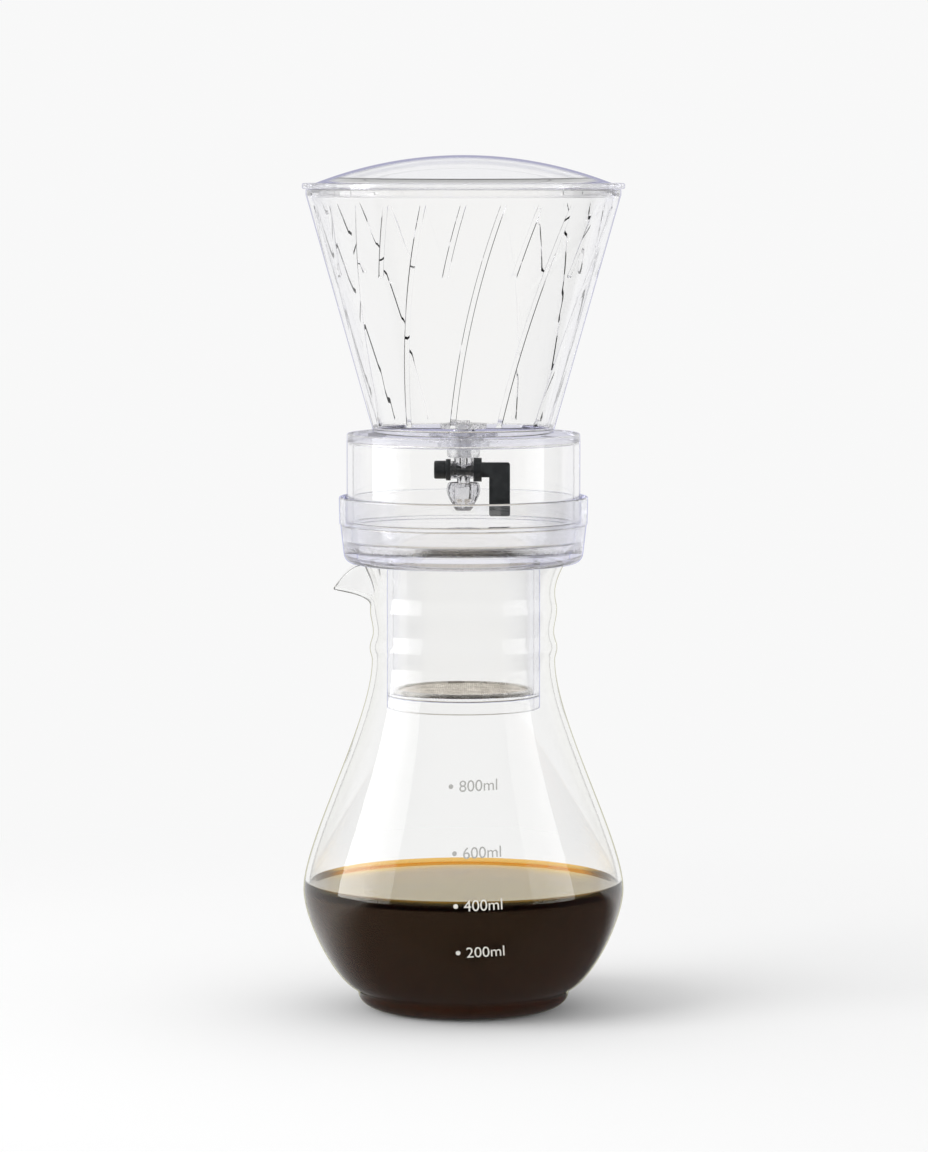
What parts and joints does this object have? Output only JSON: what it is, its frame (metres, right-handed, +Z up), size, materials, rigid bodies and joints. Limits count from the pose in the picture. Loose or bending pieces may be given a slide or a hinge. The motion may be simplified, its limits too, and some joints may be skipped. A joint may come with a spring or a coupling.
{
  "type": "cold drip coffee tower",
  "caption": "Clear conical water tank with a stopcock that drips onto ground coffee in a clear brew cup standing in a round-bellied glass carafe.",
  "frame": {"origin": "centre of the carafe's foot, on the surface it stands on", "axes": "+Z up along the tower's axis, -Y the front with the volume marks, -X the carafe's pouring spout"},
  "size_m": [0.1254, 0.1255, 0.3335],
  "materials": {
    "carafe_glass": "clear blown borosilicate glass, polished",
    "coffee": "dark cold brew coffee with an amber edge",
    "mark_enamel": "pale fired enamel",
    "clear_plastic": "clear moulded plastic with a faint violet tint at thick edges, polished",
    "steel_rim": "folded stainless steel strip, satin",
    "steel_mesh": "perforated or woven stainless steel, dull",
    "silicone": "translucent frosted silicone",
    "valve_clear": "clear moulded polycarbonate, polished",
    "black_plastic": "satin black moulded plastic",
    "seal_rubber": "black rubber"
  },
  "bodies": {
    "carafe": {"carafe": "carafe_glass", "brewed_coffee": "coffee", "volume_marks": "mark_enamel"},
    "cup": {"brew_cup": "clear_plastic", "collar_ring": "clear_plastic"},
    "filter": {"filter_rim": "steel_rim", "filter_screen": "steel_mesh"},
    "plate": {"plate_rim": "steel_rim", "distribution_plate": "steel_mesh"},
    "tank": {"water_tank": "clear_plastic", "valve_housing": "clear_plastic", "valve_bushing": "silicone", "valve_body": "valve_clear", "drip_nozzle": "valve_clear"},
    "tap": {"valve_plug": "black_plastic", "plug_seals": "seal_rubber", "valve_lever": "black_plastic", "cap_washer": "black_plastic", "valve_cap": "black_plastic"},
    "lid": {"lid": "clear_plastic"}
  },
  "joints": [
    {"name": "cup_lift", "type": "slide", "parent": "carafe", "child": "cup", "axis": [0, 0, 1], "range_m": [0, 0.08]},
    {"name": "filter_lift", "type": "slide", "parent": "cup", "child": "filter", "axis": [0, 0, 1], "range_m": [0, 0.05]},
    {"name": "plate_lift", "type": "slide", "parent": "cup", "child": "plate", "axis": [0, 0, 1], "range_m": [0, 0.01]},
    {"name": "tank_lift", "type": "slide", "parent": "cup", "child": "tank", "axis": [0, 0, 1], "range_m": [0, 0.06]},
    {"name": "tap_turn", "type": "hinge", "parent": "tank", "child": "tap", "pos_m": [0, 0, 0.2114], "axis": [-1, 0, 0], "range_deg": [0, 90]},
    {"name": "lid_lift", "type": "slide", "parent": "tank", "child": "lid", "axis": [0, 0, 1], "range_m": [0, 0.04]}
  ]
}
